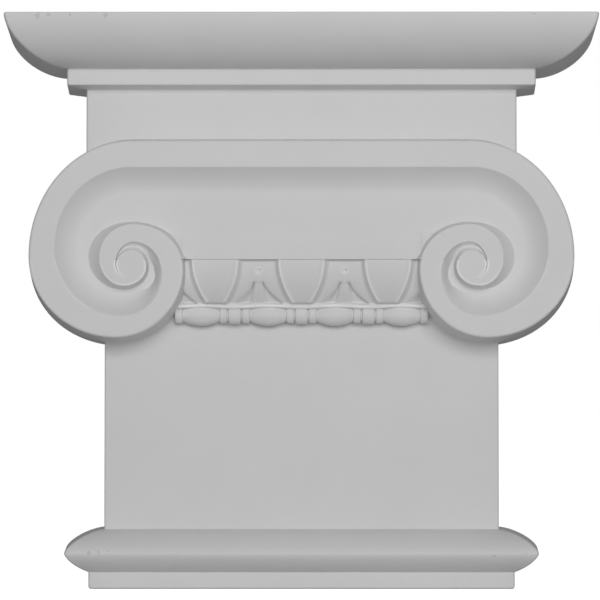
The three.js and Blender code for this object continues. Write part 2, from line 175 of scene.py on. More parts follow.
def close_up(piece: bpy.types.Object) -> None:
    """Merge a piece's doubles, turn its faces outwards and report what isn't closed.

    Args:
        piece: The piece.
    """
    activate(piece)
    bpy.ops.object.mode_set(mode="EDIT")
    bpy.ops.mesh.select_all(action="SELECT")
    bpy.ops.mesh.remove_doubles(threshold=MERGE_DISTANCE)
    bpy.ops.mesh.normals_make_consistent(inside=False)
    bpy.ops.object.mode_set(mode="OBJECT")
    check = bmesh.new()
    check.from_mesh(piece.data)
    loose = sum(1 for edge in check.edges if not edge.is_manifold)
    check.free()
    LOG.info("%s: %d faces, %d open edges", piece.name, len(piece.data.polygons), loose)


def new_mesh(name: str, points: list[Vector], faces: list[tuple[int, ...]]) -> bpy.types.Object:
    """Make an object of points and faces, with its doubles merged and its faces turned outwards.

    Args:
        name: The object's name.
        points: Its points in metres.
        faces: Its faces, each as places in the list of points.

    Returns:
        The new object.
    """
    mesh = bpy.data.meshes.new(name)
    mesh.from_pydata([tuple(p) for p in points], [], faces)
    piece = bpy.data.objects.new(name, mesh)
    bpy.context.collection.objects.link(piece)
    close_up(piece)
    return piece


def grid_faces(rows: int, columns: int, wrap: bool = False) -> list[tuple[int, ...]]:
    """List the quads of a grid whose points are numbered row by row.

    Args:
        rows: Number of rows.
        columns: Points in each row.
        wrap: Whether the last column joins the first.

    Returns:
        The quads.
    """
    faces = []
    for i in range(rows - 1):
        near, far = i * columns, (i + 1) * columns
        for j in range(columns if wrap else columns - 1):
            on = (j + 1) % columns
            faces.append((near + j, far + j, far + on, near + on))
    return faces


def loft(name: str, sections: list[list[Vector]]) -> bpy.types.Object:
    """Make a solid through a row of closed sections, with flat ends.

    Args:
        name: The object's name.
        sections: The sections, with equally many points in each.

    Returns:
        The closed solid.
    """
    columns = len(sections[0])
    points = [p for section in sections for p in section]
    faces = grid_faces(len(sections), columns, wrap=True)
    faces.append(tuple(range(columns)))
    faces.append(tuple(range(len(points) - columns, len(points))))
    return new_mesh(name, points, faces)


def join(body: bpy.types.Object, other: bpy.types.Object, how: Joining) -> None:
    """Join or cut one closed solid with another, which is used up.

    Args:
        body: The solid that stays.
        other: The solid that is added or taken away.
        how: Whether it is added or taken away.
    """
    activate(body)
    step = body.modifiers.new("join", "BOOLEAN")
    step.operation = how.value
    step.solver = "MANIFOLD"
    step.object = other
    bpy.ops.object.modifier_apply(modifier=step.name)
    bpy.data.objects.remove(other, do_unlink=True)
    LOG.info("%s: %d faces after %s", body.name, len(body.data.polygons), how.name)


@dataclass
class Mouldings:
    """The neck with the base fillet, torus, block, fillet and abacus that run round its front and ends."""

    neck_half_width: float = NECK_HALF_WIDTH
    neck_depth: float = NECK_DEPTH
    neck_radius: float = 2.2
    neck_run: float = 20
    draft: float = math.radians(4)
    corner_radius: float = 1.2
    base_fillet_height: float = 8.7
    base_fillet_overhang: float = 7.5
    torus_tip_z: float = 19
    torus_top_z: float = 30.3
    torus_overhang: float = 19
    torus_leanness: float = 1.5
    block_bottom_z: float = EYE_Z
    block_top_z: float = 256.7
    block_overhang: float = 9
    block_tuck: float = 1
    fillet_bottom_z: float = 258
    fillet_top_z: float = 266.4
    fillet_overhang: float = 18.2
    abacus_top_z: float = 291.3
    abacus_overhang: float = 47.5
    abacus_top_run: float = 10
    ovolo_leanness: float = 1.75
    foot_arris: float = 1.5
    block_arris: float = 0.6
    fillet_arris: float = 0.9
    abacus_arris: float = 0.8
    curve_steps: int = 22
    neck_steps: int = 6
    foot_steps: int = 5
    arris_steps: int = 4

    def torus(self) -> Section:
        """Draw the torus's curve from the base fillet to the neck.

        Returns:
            Pairs of overhang and height.
        """
        drop = self.torus_tip_z - self.base_fillet_height
        rise = self.torus_top_z - self.torus_tip_z
        foot = round_share(self.base_fillet_overhang / self.torus_overhang, self.torus_leanness)
        curve = []
        for i in range(1, self.curve_steps + 1):
            share = foot * math.cos(QUARTER * i / self.curve_steps)
            overhang = self.torus_overhang * round_share(share, self.torus_leanness)
            curve.append((overhang, self.torus_tip_z - drop * share / foot))
        for i in range(1, self.curve_steps):
            share = math.sin(QUARTER * i / self.curve_steps)
            overhang = self.torus_overhang * round_share(share, self.torus_leanness)
            curve.append((overhang, self.torus_tip_z + rise * share))
        return curve

    def ovolo(self) -> Section:
        """Draw the abacus's curve from the fillet to its top edge.

        Returns:
            Pairs of overhang and height.
        """
        run = self.abacus_overhang - self.fillet_overhang
        height = self.abacus_top_z - self.fillet_top_z
        curve = []
        for i in range(1, self.curve_steps + 1):
            share = math.cos(QUARTER * i / self.curve_steps)
            overhang = self.fillet_overhang + run * round_share(share, self.ovolo_leanness)
            curve.append((overhang, self.abacus_top_z - height * share))
        return curve

    def profile(self) -> Section:
        """Draw every level from the underside to the top.

        Returns:
            Pairs of overhang and height.
        """
        foot = [(0, 0), (self.base_fillet_overhang, 0), (self.base_fillet_overhang, self.base_fillet_height)]
        low = soften(foot, {1: self.foot_arris}, self.foot_steps)[1:] + self.torus()
        neck = [(0, self.torus_top_z), (0, self.torus_top_z + self.neck_run)]
        low = soften(low + neck, {len(low): self.neck_radius}, self.neck_steps)
        block = [
            (0, self.block_bottom_z - self.block_tuck),
            (self.block_overhang, self.block_bottom_z),
            (self.block_overhang, self.block_top_z),
            (self.fillet_overhang, self.fillet_bottom_z),
            (self.fillet_overhang, self.fillet_top_z),
        ]
        block = soften(block, {2: self.block_arris, 3: self.fillet_arris}, self.arris_steps)
        top = self.ovolo() + [(self.abacus_overhang - self.abacus_top_run, self.abacus_top_z)]
        top = soften(top, {len(top) - 2: self.abacus_arris}, self.arris_steps)[:-1]
        return low + block + top

    def build(self) -> bpy.types.Object:
        """Raise the stack of mouldings from its underside, level by level.

        Returns:
            The closed solid.
        """
        levels = self.profile()
        deselect_all()
        bpy.ops.mesh.primitive_plane_add(size=2, location=(0, 0, 0))
        piece = bpy.context.object
        piece.name = "mouldings"
        overhang, _ = levels[0]
        front, depth = self.front_and_depth(overhang)
        for vertex, side in zip(piece.data.vertices, (-1, 1, -1, 1)):
            vertex.co = place(side * front, 0, depth if vertex.co.y < 0 else 0)
        bpy.ops.object.mode_set(mode="EDIT")
        self.select(piece, lambda co: co.y < WALL_Y - MM)
        bpy.ops.mesh.bevel(offset=self.corner_radius * MM, segments=self.arris_steps, affect="VERTICES")
        self.widen_back(piece, 0, 1, self.back_ratio(overhang))
        for (was, z_was), (now, z_now) in zip(levels, levels[1:]):
            self.raise_level(piece, was, now, z_now - z_was, z_now)
        bpy.ops.mesh.select_all(action="SELECT")
        bpy.ops.mesh.normals_make_consistent(inside=False)
        close_up(piece)
        return piece

    def front_and_depth(self, overhang: float) -> tuple[float, float]:
        """Give half the front's width and the depth at an overhang."""
        return self.neck_half_width + overhang, self.neck_depth + overhang

    def back_ratio(self, overhang: float) -> float:
        """Give the width at the wall over the width in front at an overhang."""
        front, depth = self.front_and_depth(overhang)
        return 1 + depth * math.tan(self.draft) / front

    def select(self, piece: bpy.types.Object, wanted: Callable[[Vector], bool]) -> None:
        """Select points of a mesh in edit mode.

        Args:
            piece: The object with the mesh.
            wanted: Says of a point's place whether the point is selected.
        """
        bpy.ops.mesh.select_all(action="DESELECT")
        shape = bmesh.from_edit_mesh(piece.data)
        for vertex in shape.verts:
            vertex.select = wanted(vertex.co)
        shape.select_flush(True)
        bmesh.update_edit_mesh(piece.data)

    def widen_back(self, piece: bpy.types.Object, z: float, was: float, now: float) -> None:
        """Move the two points at the wall on one level to a new share of the front's width."""
        self.select(piece, lambda co: co.y > WALL_Y - HAIR and abs(co.z - z * MM) < HAIR)
        bpy.ops.transform.resize(value=(now / was, 1, 1), center_override=(0, WALL_Y, z * MM))

    def raise_level(self, piece: bpy.types.Object, was: float, now: float, rise: float, z: float) -> None:
        """Extrude the top level up to the next one and bring it to that level's width and depth.

        Args:
            piece: The object, in edit mode.
            was: The top level's overhang.
            now: The next level's overhang.
            rise: How far apart the two are.
            z: The next level's height.
        """
        shape = bmesh.from_edit_mesh(piece.data)
        shape.faces.ensure_lookup_table()
        bpy.ops.mesh.select_all(action="DESELECT")
        top = max(shape.faces, key=lambda face: (len(face.verts), face.calc_center_median().z))
        top.select = True
        shape.select_flush(True)
        bmesh.update_edit_mesh(piece.data)
        bpy.ops.mesh.extrude_region_move(TRANSFORM_OT_translate={"value": (0, 0, rise * MM)})
        front_was, depth_was = self.front_and_depth(was)
        front_now, depth_now = self.front_and_depth(now)
        growth = (front_now / front_was, depth_now / depth_was, 1)
        bpy.ops.transform.resize(value=growth, center_override=(0, WALL_Y, z * MM))
        self.widen_back(piece, z, self.back_ratio(was), self.back_ratio(now))


@dataclass
class Scroll:
    """The flat band that winds into a volute at each end, with the channel sunk between its turns.

    An edge's turns are shares of the rise. They say where the edge is furthest up, out, down, in and so on.
    The walls' runs and the channel's depths are given at each quarter turn.
    """

    eye_x: float = 86.3
    eye_z: float = EYE_Z
    rise: float = 63.2
    depth: float = 52
    turn: int = 4
    outer: tuple[tuple[float, float], ...] = (
        (0, 1),
        (0.823, 0.073),
        (0.127, -0.584),
        (-0.416, -0.03),
        (-0.016, 0.328),
        (0.255, 0.064),
        (0.062, -0.169),
        (-0.123, -0.014),
        (-0.005, 0.116),
        (0.121, 0),
        (0, -0.107),
    )
    inner: tuple[tuple[float, float], ...] = (
        (0, 0.787),
        (0.618, 0.143),
        (0.078, -0.408),
        (-0.253, -0.092),
        (-0.016, 0.186),
        (0.126, 0.005),
        (0.003, -0.11),
    )
    side_draft: float = math.radians(5.8)
    under_draft: float = math.radians(3.8)
    top_draft: float = math.radians(7.4)
    draft_power: int = 4
    arris: float = 1.6
    flat_run: float = 3
    neck_depth: float = NECK_DEPTH
    neck_half_width: float = NECK_HALF_WIDTH
    neck_radius: float = 2.6
    neck_tuck: float = 0.5
    fillet_tuck: float = 1
    clearance: float = 4
    channel_depth: float = 8.5
    depth_shares: tuple[float, ...] = (1, 1, 1, 1, 0.4, 0.5, 0)
    narrow_fullness: float = 0.35
    band_radius: float = 0.9
    cove_run: float = 12.5
    cove_most: float = 0.95
    cove_fullness: float = 1.75
    gouge_quarter: float = 2.85
    gouge_reach: float = 0.8
    gouge_power: float = 1.9
    gouge_floor_share: float = 0.38
    floor_radius: float = 30
    wall_runs: tuple[float, ...] = (2.6, 1.6, 6.4, 1.6, 0.9, 2.6, 1.2, 0.8)
    coil_wall_share: float = 0.45
    coil_foot_room: float = 1.1
    coil_arris: float = 0.7
    echinus_top_rise: float = ECHINUS_RISE
    lip_depth: float = 47.2
    lip_radius: float = 0.6
    lip_arris: float = 0.3
    lip_run: float = 4
    lip_rise: float = 2
    lip_clearance: float = 1
    flare_run: float = 12
    flare_turn: float = 0.5
    fan_stretch: float = 1.1
    skim: float = 0.015
    nudge: float = 1e-3
    steps: int = 22
    front_steps: int = 12
    lip_steps: int = 16
    cove_steps: int = 10
    fillet_steps: int = 6
    arris_steps: int = 5

    def edge(self, turns: tuple[tuple[float, float], ...], quarters: float) -> Vector:
        """Find a point of an edge of the left volute.

        Args:
            turns: Where the edge is furthest up, out, down and in, as shares of the rise.
            quarters: Quarter turns from the top.

        Returns:
            The point across and up, in millimetres.
        """
        i = min(int(quarters), len(turns) - 2)
        angle = (quarters - i) * QUARTER
        near, far = 1 - math.cos(angle), math.sin(angle)
        across, up = (far, near) if i % 2 == 0 else (near, far)
        (x0, z0), (x1, z1) = turns[i], turns[i + 1]
        x = -self.eye_x - self.rise * (x0 + (x1 - x0) * across)
        return Vector((x, self.eye_z + self.rise * (z0 + (z1 - z0) * up)))

    def lean(self, outward: Vector) -> float:
        """Give how far the side face spreads for each millimetre towards the wall, least below."""
        end_draft = self.top_draft if outward.y > 0 else self.under_draft
        return math.tan(self.side_draft + (end_draft - self.side_draft) * outward.y**self.draft_power)

    def coil_wall(self, quarters: float) -> float:
        """Give how far the coil's side slopes out at a number of quarter turns along its edge."""
        return eased(self.wall_runs, quarters - self.turn + 1)

    def meeting(self) -> float:
        """Find where the outer edge comes up to the egg-and-dart band.

        Returns:
            The quarter turns from the top.
        """
        below, above = self.outer[self.turn - 1][1], self.outer[self.turn][1]
        share = (self.echinus_top_rise / self.rise - below) / (above - below)
        return self.turn - 1 + math.asin(share) / QUARTER

    def half_outline(self) -> list[tuple[Vector, Vector, float]]:
        """List the outline's left half, from the top's middle to the lip's middle.

        Returns:
            For each point its place, the direction outwards, and its share of the fillet on the neck.
        """
        top = self.eye_z + self.rise
        outline = [(Vector((x, top)), Vector((0, 1)), 0.0) for x in (0, -self.eye_x / 2)]
        meeting = self.meeting()
        count = round(meeting * self.steps)
        for i in range(count + 1):
            quarters = meeting * i / count
            here = self.edge(self.outer, quarters)
            back = self.edge(self.outer, max(0, quarters - self.nudge))
            along = self.edge(self.outer, quarters + self.nudge) - back
            outward = Vector((along.y, -along.x)).normalized()
            inside = (self.neck_half_width + self.neck_tuck - abs(here.x)) / self.clearance
            share = max(0.0, min(1.0, inside)) if here.y < self.eye_z else 0.0
            outline.append((here, outward, smooth(share)))
        corner, outward, _ = outline[-1]
        for i in range(1, self.front_steps + 1):
            left = 1 - i / self.front_steps
            outline.append((Vector((corner.x * left, corner.y)), outward * left, 0.0))
        return outline

    def wall_rows(self) -> list[tuple[float, float, float]]:
        """List the rows of the block's side, from the front down to the wall.

        Returns:
            For each row its offset from the outline, the fillet's further offset, and its depth. The offset
            leaves out the draft, and the first one lies inside the outline, on the flat of the band.
        """
        side = [(-self.flat_run, self.depth), (0, self.depth), (0, 0)]
        arc = soften(side, {1: self.arris}, self.arris_steps)[1:-1]
        rows = [(offset, 0.0, depth) for offset, depth in arc]
        for i in range(self.fillet_steps + 1):
            angle = QUARTER * i / self.fillet_steps
            depth = self.neck_depth + self.neck_radius * (1 - math.sin(angle))
            rows.append((0.0, self.neck_radius * (1 - math.cos(angle)), depth))
        under = self.neck_depth - self.neck_tuck
        rows.append((0.0, self.neck_radius, under))
        rows.append((0.0, 0.0, under - self.fillet_tuck))
        rows.append((0.0, 0.0, 0.0))
        return rows

    def blank(self) -> bpy.types.Object:
        """Make the scroll's whole block, from the wall to the flat of its band.

        Returns:
            The closed solid.
        """
        outline = self.half_outline()
        rows = []
        for offset, extra, depth in self.wall_rows():
            left = []
            for at, outward, share in outline:
                spread = (self.depth - depth) * self.lean(outward)
                left.append(at + outward * (offset + spread + extra * share))
            right = [place(-p.x, p.y, depth) for p in reversed(left[1:-1])]
            rows.append([place(p.x, p.y, depth) for p in left] + right)
        return loft("scroll", rows)

    def cut_section(
        self,
        inner: Vector,
        end: Vector,
        wall: float | None,
        fade: float = 1.0,
        flare: float = 0.0,
        gouge: float = 0.0,
    ) -> list[Vector]:
        """Make one closed section of what is cut out for the channel.

        Args:
            inner: The band's inner edge, across and up.
            end: The edge on the channel's other side.
            wall: How far the coil's side slopes out there, or None where the channel ends in the lip.
            fade: Share of the channel's depth that is left.
            flare: Share of the rise to the lip that the floor takes before it meets the coil.
            gouge: How far the cove's steepest part has moved from the band to the foot.

        Returns:
            The section's points in metres.
        """
        width = (end - inner).length
        way = (end - inner) / width
        depth = fade * self.channel_depth * min(1.0, width / self.cove_run) ** self.narrow_fullness
        floor = self.depth - depth
        foot_run = 0.0 if wall is None else min(wall, width * self.coil_wall_share)
        flare_run = max(foot_run * self.coil_foot_room, self.flare_run * flare)
        most = (width - flare_run) * (self.cove_most - self.gouge_floor_share * gouge)
        cove = min(self.cove_run, most)
        line: Section = [(-self.flat_run, self.depth), (0, self.depth)]
        for i in range(1, self.cove_steps + 1):
            share = i / self.cove_steps
            fall = (1 - gouge) * (1 - (1 - share) ** self.cove_fullness) + gouge * share**self.gouge_power
            line.append((cove * share, self.depth - depth * fall))
        turn = len(line)
        line.append((width - flare_run, floor))
        line.append((width - foot_run, floor + (self.lip_depth - floor) * flare))
        if wall is None:
            back = width + self.lip_run
            line += [(back, self.lip_depth + self.lip_rise), (back, self.depth + self.lip_clearance)]
            foot_radius, crest_radius = self.lip_radius, self.lip_arris
        else:
            line += [(width, self.depth), (width + self.flat_run, self.depth)]
            foot_radius, crest_radius = foot_run, self.coil_arris
        radii = {1: self.band_radius, turn: self.floor_radius, turn + 1: foot_radius, turn + 2: crest_radius}
        line = soften(line, radii, self.arris_steps)[1:-1]
        line += [(line[-1][0], self.depth + self.clearance), (line[0][0], self.depth + self.clearance)]
        points = []
        for along, height in line:
            at = inner + way * along
            points.append(place(at.x, at.y, height + self.skim))
        return points

    def fan(self) -> float:
        """Give how far along the band the sections spread that turn from the lip to the coil."""
        return (self.eye_x - abs(self.edge(self.outer, self.meeting()).x)) * self.fan_stretch

    def channel_top(self) -> float:
        """Give the height of the band's inner edge between the volutes."""
        return self.eye_z + self.rise * self.inner[0][1]

    def lip_sections(self) -> list[list[Vector]]:
        """Cut the channel over the lip, from the middle plane to the coil.

        Returns:
            The sections.
        """
        meeting = self.meeting()
        corner, wall_foot = self.edge(self.outer, meeting), self.coil_wall(meeting)
        sections = []
        for i in range(self.lip_steps + 1):
            share = i / self.lip_steps
            start = Vector(((self.fan() + wall_foot - self.eye_x) * share, self.channel_top()))
            end = Vector(((corner.x + wall_foot) * share, self.eye_z + self.echinus_top_rise))
            sections.append(self.cut_section(start, end, None, flare=1.0))
        return sections

    def flare_sections(self) -> list[list[Vector]]:
        """Cut the channel where its floor comes down from the lip, up to the coil's top.

        Returns:
            The sections.
        """
        meeting = self.meeting()
        count = round((self.turn - meeting) * self.steps)
        sections = []
        for i in range(count, 0, -1):
            quarters = self.turn - (self.turn - meeting) * i / count
            start = Vector((self.fan() * i / count - self.eye_x, self.channel_top()))
            end = self.edge(self.outer, quarters)
            flare = smooth(max(0.0, 1 - (quarters - meeting) / self.flare_turn))
            sections.append(self.cut_section(start, end, self.coil_wall(quarters), flare=flare))
        return sections

    def coil_sections(self) -> list[list[Vector]]:
        """Cut the channel round the coil, to its end beside the eye.

        Returns:
            The sections.
        """
        quarters = len(self.inner) - 1
        total = quarters * self.steps
        sections = []
        for i in range(total + 1):
            at = quarters * i / total
            start, end = self.edge(self.inner, at), self.edge(self.outer, at + self.turn)
            wall = self.coil_wall(at + self.turn)
            fade = eased(self.depth_shares, at)
            gouge = smooth(max(0.0, 1 - abs(at - self.gouge_quarter) / self.gouge_reach))
            sections.append(self.cut_section(start, end, wall, fade, gouge=gouge))
        return sections

    def channel(self) -> bpy.types.Object:
        """Make the solid that is cut out of the block to leave the channel.

        Returns:
            The closed solid.
        """
        left = self.lip_sections() + self.flare_sections() + self.coil_sections()
        right = [[Vector((-p.x, p.y, p.z)) for p in section] for section in left[1:]]
        return loft("channel", right[::-1] + left)

    def build(self) -> bpy.types.Object:
        """Cut the channel into the block.

        Returns:
            The closed solid.
        """
        block = self.blank()
        join(block, self.channel(), Joining.CUT)
        return block


@dataclass(frozen=True)
class Flank:
    """How the carving runs on one side of an egg: its shell's fall, the arch's wall and the dart's wall.

    The knee is where the shell's fall bends, as shares of its run and of its relief.
    """

    shell_fall: float
    knee: tuple[float, float]
    soft_arch: bool
    dart_wall: float
    dart_wall_share: float


@dataclass
class EggAndDart:
    """The carved band between the volutes, with the strip that backs the beads.

    A lip's line gives distances across from the egg's edge, and distances sunk. The ledge's line gives shares
    of its drop, and how far each of them falls short of its depth.
    """

    top_z: float = EYE_Z + ECHINUS_RISE
    height: float = 22
    depth: float = 46.2
    recede: float = 9
    pitch: float = 44
    count: int = 3
    left: Flank = Flank(2.32, (0.7, 0.85), False, 1.6, 0.5)
    right: Flank = Flank(2.9, (0.8, 1.1), True, 0.4, 0.2)
    egg_half_width: float = 11.7
    egg_foot_half_width: float = 4.7
    egg_fullness: float = 2.1
    lip: tuple[tuple[float, float], ...] = ((-1.8, 0.05), (-0.9, -0.57), (-0.2, -0.95), (0.4, 0.1))
    shell_width: float = 3.6
    shell_relief: float = 2.5
    arch_relief: float = 3
    arch_height: float = 10.9
    arch_half_width: float = 2.6
    arch_foot_half_width: float = 12.6
    arch_fullness: float = 1.7
    arch_room: float = 1.5
    arch_crisp_wall: float = 0.35
    arch_crisp_share: float = 0.15
    arch_soft_share: float = 0.72
    arch_top_run: float = 0.035
    arch_top_gap: float = 0.005
    dart_half_width: float = 2.2
    dart_foot_half_width: float = 4.6
    dart_most: float = 0.8
    dart_sunk_share: float = 0.1
    dart_shoulder: float = 0.35
    dart_foot_share: float = 0.7
    dart_ridge: float = 0.1
    least_field: float = 0.4
    least_shell: float = 0.3
    edge_run: float = 0.1
    pit_radius: float = 1.5
    pit_depth: float = 0.9
    pit_rise: float = 16.2
    pit_segments: int = 24
    pit_rings: int = 14
    back_depth: float = 5
    top_rise: float = 2.4
    top_overrun: float = 1.08
    top_drop: float = 5
    backing_depth: float = 28
    backing_foot_depth: float = 20
    backing_foot_share: float = 0.3
    bead_height: float = 11.6
    ledge_drop: float = 2.2
    ledge_depth: float = 35.4
    ledge_gap: float = 1.6
    ledge_line: tuple[tuple[float, float], ...] = ((1, 0.5), (0.75, 0), (0.45, 0), (0.15, 0.4))
    ledge_wave: float = 0.45
    ledge_wave_pitch: float = BEAD_PITCH
    rows_below: int = 10
    rows_above: int = 9

    def face_depth(self, rise: float) -> float:
        """Give the depth of the plain rounded face at a share of the band's height."""
        return self.depth - self.recede * (1 - rise) ** 2

    def half_pitch(self, rise: float, under_arch: bool, flank: Flank) -> Section:
        """Draw one row from an egg's middle to a dart's.

        Args:
            rise: Share of the band's height.
            under_arch: Whether the arch over the dart is cut at this height.
            flank: How the carving runs on this side of the egg.

        Returns:
            Pairs of distance across and distance sunk.
        """
        middle = self.pitch / 2
        widening = 1 - max(0.0, 1 - rise) ** self.egg_fullness
        egg = self.egg_foot_half_width + (self.egg_half_width - self.egg_foot_half_width) * widening
        shell = min(egg + self.shell_width, middle - self.arch_half_width * self.arch_room)
        below = max(0.0, 1 - rise * self.height / self.arch_height)
        spread = (self.arch_foot_half_width - self.arch_half_width) * below**self.arch_fullness
        arch = min(self.arch_half_width + spread, middle - shell - self.least_field)
        edge = middle - arch
        dart_half = self.dart_half_width + (self.dart_foot_half_width - self.dart_half_width) * below
        dart = middle - min(dart_half, arch * self.dart_most)
        field_sunk = self.shell_relief
        sunk = field_sunk + (self.arch_relief if under_arch else 0)
        tongue = field_sunk + (self.arch_relief * self.dart_sunk_share if under_arch else 0)
        drop = min(flank.shell_fall, shell - egg - self.least_shell)
        crisp_wall = min(self.arch_crisp_wall, arch * self.arch_crisp_share)
        arch_wall = (dart - edge) * self.arch_soft_share if flank.soft_arch else crisp_wall
        dart_wall = min(flank.dart_wall, (dart - edge) * flank.dart_wall_share)
        dart_foot = sunk * self.dart_foot_share + tongue * (1 - self.dart_foot_share)
        return [
            (0, 0),
            (egg / 2, 0),
            *((egg + across, lip_sunk) for across, lip_sunk in self.lip),
            (egg + drop * flank.knee[0], field_sunk * flank.knee[1]),
            (egg + drop, field_sunk),
            ((shell + edge) / 2, field_sunk),
            (edge - self.edge_run, field_sunk),
            (edge + arch_wall, sunk),
            (dart - dart_wall, sunk),
            (dart, dart_foot),
            (dart + (middle - dart) * self.dart_shoulder, tongue),
            (middle, tongue - self.dart_ridge),
        ]

    def row(self, rise: float, under_arch: bool) -> list[Vector]:
        """Make one row of the carved face from end to end.

        Args:
            rise: Share of the band's height.
            under_arch: Whether the arches over the darts are cut at this height.

        Returns:
            The row's points in metres.
        """
        left, right = (self.half_pitch(rise, under_arch, flank) for flank in (self.left, self.right))
        z = self.top_z - self.height * (1 - rise)
        row = []
        for egg in range(self.count):
            egg_x = (egg - (self.count - 1) / 2) * self.pitch
            before = left[:0:-1] if egg == 0 else left[-2:0:-1]
            row += [place(egg_x - across, z, self.face_depth(rise) - sunk) for across, sunk in before]
            row += [place(egg_x + across, z, self.face_depth(rise) - sunk) for across, sunk in right]
        return row

    def level(self, row: list[Vector], z: float, depth: float) -> list[Vector]:
        """Give a plain row at a height and depth, with its points spaced like another row's."""
        return [place(p.x / MM, z, depth) for p in row]

    def ledge(self, row: list[Vector], share: float, depth: float) -> list[Vector]:
        """Make a row of the ledge, which rises a little over every barrel bead.

        Args:
            row: A row whose points are spaced alike.
            share: Share of the ledge's drop.
            depth: Distance in front of the wall.

        Returns:
            The row's points in metres.
        """
        turn = 2 * math.pi / (self.ledge_wave_pitch * MM)
        rises = [share * self.ledge_wave * (1 + math.cos(p.x * turn)) for p in row]
        z = self.top_z - self.height - self.ledge_drop * share
        return [place(p.x / MM, z - rise, depth) for p, rise in zip(row, rises)]

    def face_rows(self) -> list[list[Vector]]:
        """Make the rows of the carved face, from its foot to its top.

        Returns:
            The rows.
        """
        arch = self.arch_height / self.height
        rows = [self.row(arch * i / self.rows_below, True) for i in range(self.rows_below)]
        rows += [self.row(arch - self.arch_top_run, True), self.row(arch - self.arch_top_gap, False)]
        above = range(1, self.rows_above + 1)
        rows += [self.row(arch + (1 - arch) * i / self.rows_above, False) for i in above]
        rows.append(self.row(1, False))
        return rows

    def all_rows(self) -> list[list[Vector]]:
        """Make the rows that run once round the band, its ledge and the strip behind the beads.

        Returns:
            The rows, from the back of the strip's top round to the back of the band's top.
        """
        face = self.face_rows()
        bottom_z = self.top_z - self.height
        bead_z = bottom_z - self.bead_height
        over_z = self.top_z + self.top_rise
        strip = [
            (bottom_z, self.back_depth),
            (bead_z, self.back_depth),
            (bead_z, self.backing_foot_depth),
            (bead_z + self.bead_height * self.backing_foot_share, self.backing_depth),
            (bottom_z - self.ledge_drop - self.ledge_gap, self.backing_depth),
        ]
        rows = [self.level(face[0], z, depth) for z, depth in strip]
        rows += [self.ledge(face[0], share, self.ledge_depth - back) for share, back in self.ledge_line]
        rows += face
        rows.append(self.row(self.top_overrun, False))
        rows.append(self.level(face[0], over_z, self.depth - self.top_drop))
        rows.append(self.level(face[0], over_z, self.back_depth))
        return rows

    def build(self) -> bpy.types.Object:
        """Make the carved block, soften it, and sink a pit over each dart.

        Returns:
            The closed solid.
        """
        rows = self.all_rows()
        columns = len(rows[0])
        points = [p for row in rows for p in row]
        faces = grid_faces(len(rows) + 1, columns)
        faces = [tuple(corner % len(points) for corner in face) for face in faces]
        faces.append(tuple(i * columns for i in range(len(rows))))
        faces.append(tuple(i * columns + columns - 1 for i in range(len(rows))))
        band = new_mesh("egg_and_dart", points, faces)
        activate(band)
        soft = band.modifiers.new("soften", "SUBSURF")
        soft.levels = 1
        soft.render_levels = 1
        bpy.ops.object.modifier_apply(modifier=soft.name)
        for dart in range(1, self.count):
            join(band, self.pit((dart - self.count / 2) * self.pitch), Joining.CUT)
        return band

    def pit(self, x: float) -> bpy.types.Object:
        """Make what is cut out for the small round dent in the field over a dart.

        Args:
            x: The dart's distance from the middle plane.

        Returns:
            The closed solid.
        """
        rise = self.pit_rise / self.height
        at = place(x, self.top_z - self.height + self.pit_rise, self.face_depth(rise) - self.shell_relief)
        deselect_all()
        bpy.ops.mesh.primitive_uv_sphere_add(
            segments=self.pit_segments,
            ring_count=self.pit_rings,
            radius=self.pit_radius * MM,
            location=at,
        )
        bpy.ops.transform.resize(value=(1, self.pit_depth / self.pit_radius, 1))
        bpy.ops.object.transform_apply(location=True, rotation=True, scale=True)
        return bpy.context.object


